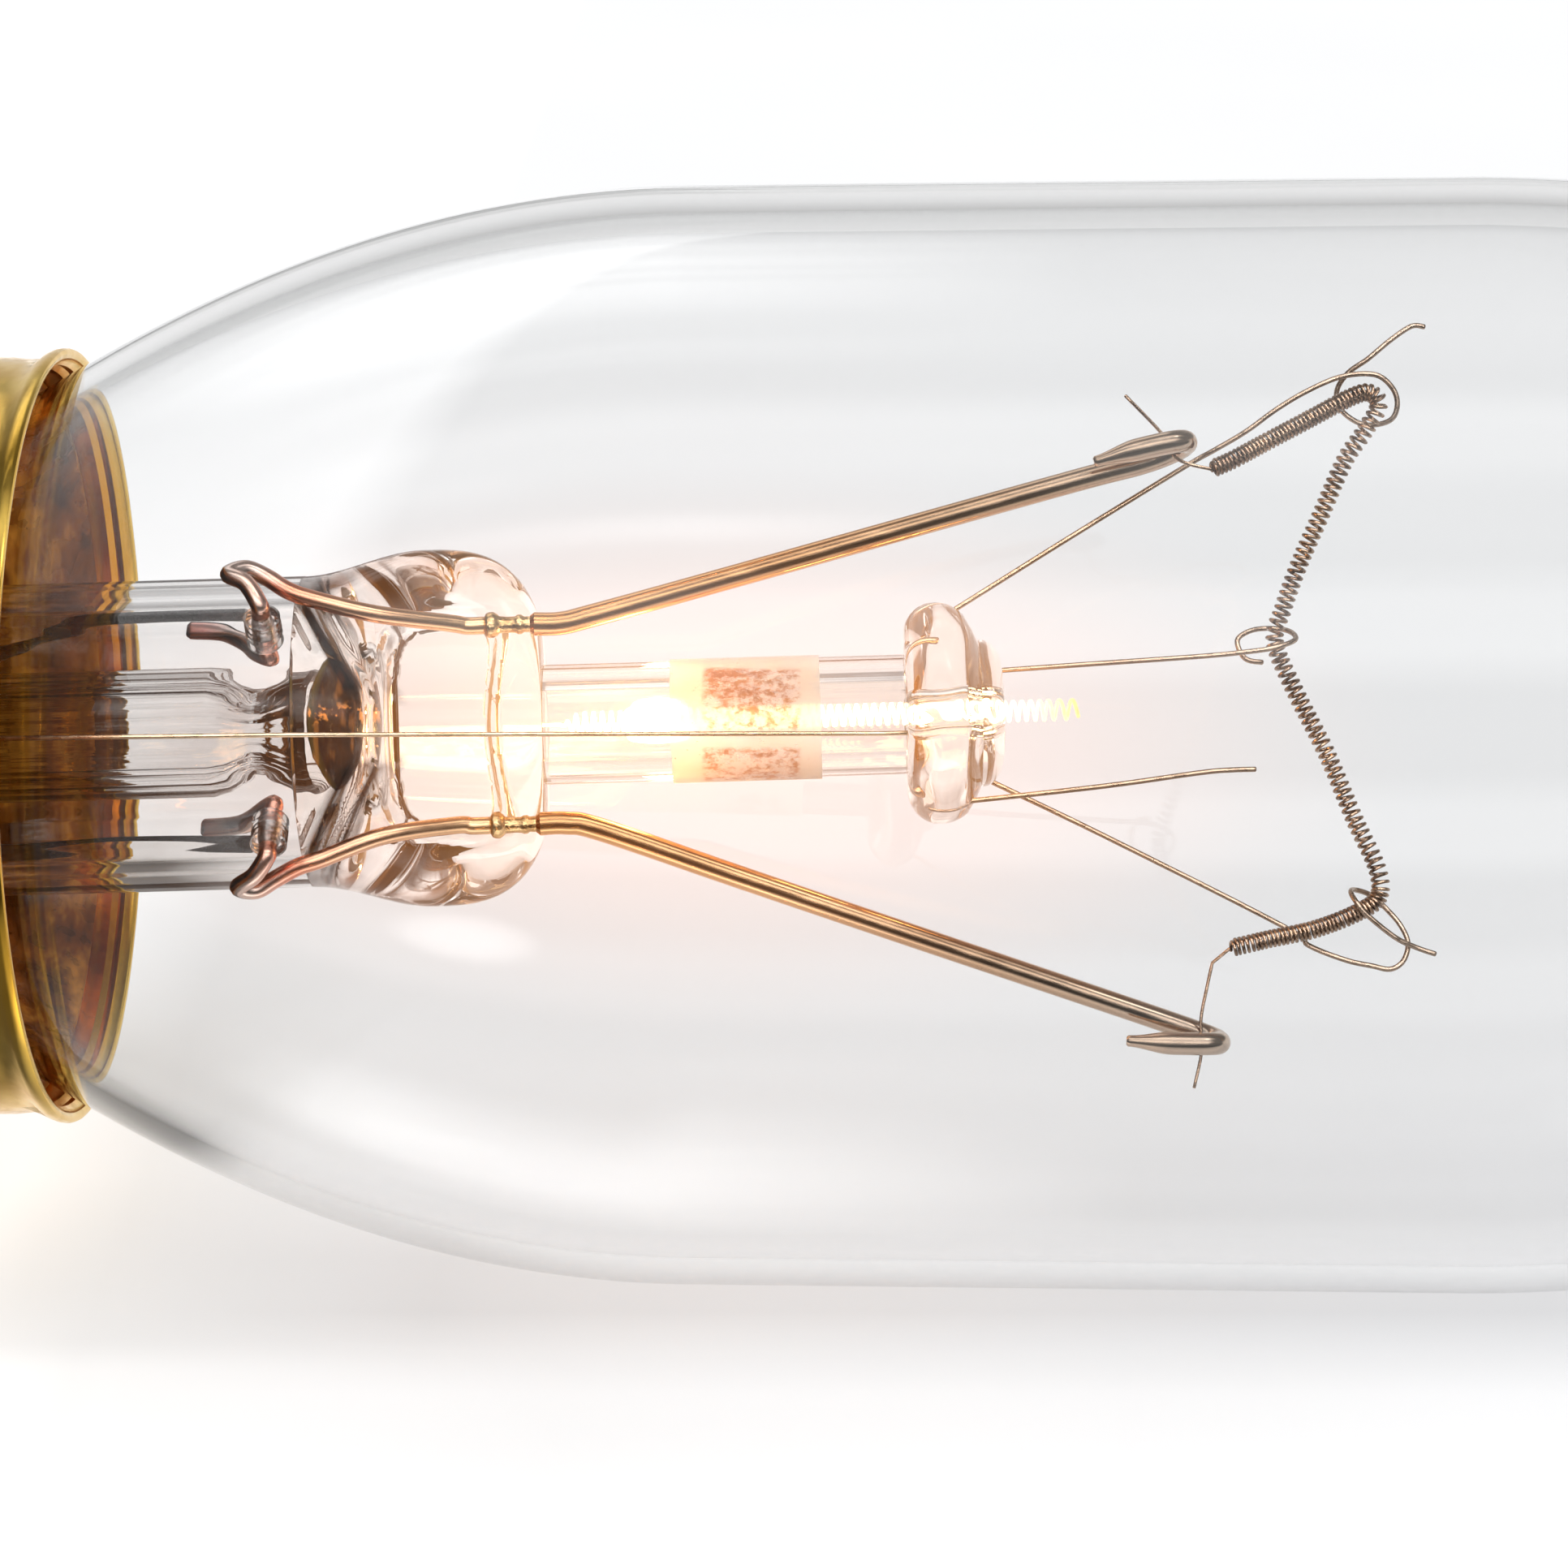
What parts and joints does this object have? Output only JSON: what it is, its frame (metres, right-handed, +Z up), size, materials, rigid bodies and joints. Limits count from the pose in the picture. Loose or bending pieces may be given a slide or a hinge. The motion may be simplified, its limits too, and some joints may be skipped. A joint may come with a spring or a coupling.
{
  "type": "appliance lamp",
  "caption": "Clear tubular lamp with a screw base, a glass stem and a coiled filament on wire supports, lying flat.",
  "frame": {"origin": "middle of the lamp's length and width, on the surface it lies on", "axes": "+X along the lamp from the contact to the glass tip, +Z up from the surface it lies on"},
  "size_m": [0.0714, 0.0254, 0.0254],
  "materials": {
    "clear_glass": "clear blown soda-lime glass",
    "stem_glass": "clear drawn glass tube",
    "press_glass": "pressed clear glass, slightly cloudy",
    "button_glass": "melted clear glass, warm from the glow",
    "bead_glass": "cloudy sealing glass",
    "base_brass": "drawn sheet brass, bright",
    "contact_brass": "stamped brass",
    "solder": "dull grey solder",
    "black_glass": "black-violet moulded glass insulator",
    "cement": "baked brown basing cement",
    "band_enamel": "cream fired enamel with rusty mottling",
    "blackened_wire": "oxidised copper wire, nearly black",
    "copper_wire": "copper-clad seal wire",
    "weld": "weld knot, heat tinted",
    "lead_wire": "nickel wire with a warm heat tint",
    "support_wire": "molybdenum wire, brown heat tint",
    "glowing_wire": "tungsten coil drawn glowing",
    "filament_wire": "tungsten coil, dark brown"
  },
  "bodies": {
    "root": {"envelope": "clear_glass", "flare_tube": "stem_glass", "exhaust_tube": "stem_glass", "press": "press_glass", "arbor_tube": "stem_glass", "button": "button_glass", "lead_bead_upper": "bead_glass", "lead_bead_lower": "bead_glass", "base_shell": "base_brass", "centre_contact": "contact_brass", "centre_solder": "solder", "side_solder": "solder", "base_insulator": "black_glass", "basing_cement": "cement", "arbor_band": "band_enamel", "outer_lead_upper": "blackened_wire", "outer_lead_lower": "blackened_wire", "seal_wire_upper": "copper_wire", "seal_wire_lower": "copper_wire", "weld_joint_upper": "weld", "weld_joint_lower": "weld", "inner_lead_upper": "lead_wire", "inner_lead_lower": "lead_wire", "support_upper": "support_wire", "support_middle": "support_wire", "support_lower": "support_wire", "support_spare": "support_wire", "tie_wire": "support_wire", "axial_coil": "glowing_wire", "filament": "filament_wire"}
  },
  "joints": []
}
